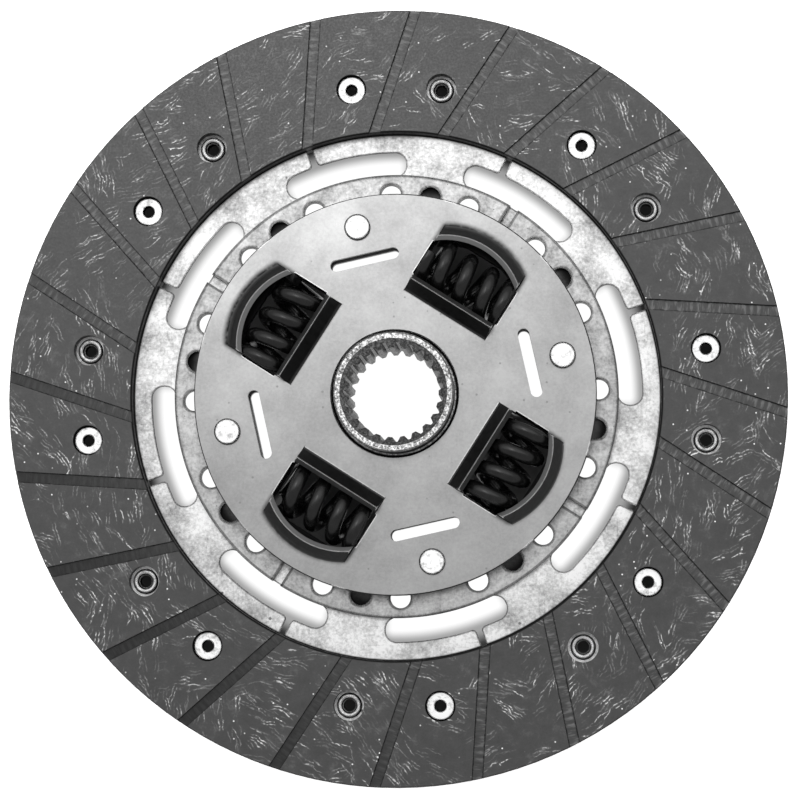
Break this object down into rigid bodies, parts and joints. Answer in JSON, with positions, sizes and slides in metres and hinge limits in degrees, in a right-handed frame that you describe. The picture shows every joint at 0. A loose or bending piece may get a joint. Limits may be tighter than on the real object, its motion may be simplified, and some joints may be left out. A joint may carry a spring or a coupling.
{
  "type": "clutch disc",
  "caption": "Dry clutch disc with two grooved friction rings riveted to a slotted cushion plate, and a sprung torsion damper around a splined hub.",
  "frame": {"origin": "on the hub axis, in the middle plane between the two friction facings, which is also half way along the hub", "axes": "+Z along the hub axis towards the cover plate side; X and Y lie in the plane of the disc"},
  "size_m": [0.2, 0.2, 0.0244],
  "materials": {
    "friction_lining": "moulded organic friction compound with woven wire and yarn, ground flat",
    "spring_steel_sheet": "bright mottled cold-rolled spring steel sheet",
    "steel_sheet": "light oiled blanked steel sheet",
    "pressed_steel": "satin pressed steel sheet",
    "bright_pin_steel": "bright riveted pin heads",
    "rivet_metal": "bright plated tubular rivets",
    "bush_plastic": "dark glass-filled plastic",
    "forged_steel": "machined and broached steel",
    "black_spring_wire": "black oiled spring wire"
  },
  "bodies": {
    "disc": {"friction_facing_front": "friction_lining", "friction_facing_rear": "friction_lining", "cushion_plate": "spring_steel_sheet", "quarter_plate_1": "steel_sheet", "quarter_plate_2": "steel_sheet", "quarter_plate_3": "steel_sheet", "quarter_plate_4": "steel_sheet", "cover_plate": "pressed_steel", "driver_plate": "pressed_steel", "stop_pin_1": "bright_pin_steel", "stop_pin_2": "bright_pin_steel", "stop_pin_3": "bright_pin_steel", "stop_pin_4": "bright_pin_steel", "facing_rivets_front": "rivet_metal", "facing_rivets_rear": "rivet_metal", "centring_bush": "bush_plastic", "friction_washer": "bush_plastic", "disc_spring": "spring_steel_sheet"},
    "hub": {"hub": "forged_steel"},
    "springs": {"torsion_spring_1": "black_spring_wire", "torsion_spring_2": "black_spring_wire", "torsion_spring_3": "black_spring_wire", "torsion_spring_4": "black_spring_wire"}
  },
  "joints": [
    {"name": "damper_turn", "type": "hinge", "parent": "disc", "child": "hub", "pos_m": [0, 0, 0], "axis": [0, 0, 1], "range_deg": [-8, 8], "stiffness_Nm_per_rad": 30},
    {"name": "springs_follow", "type": "hinge", "parent": "disc", "child": "springs", "pos_m": [0, 0, 0], "axis": [0, 0, 1], "range_deg": [-4, 4], "deforming": ["torsion_spring_1", "torsion_spring_2", "torsion_spring_3", "torsion_spring_4"]}
  ],
  "couplings": [
    {"joint": "springs_follow", "follows": "damper_turn", "ratio": 0.5}
  ]
}
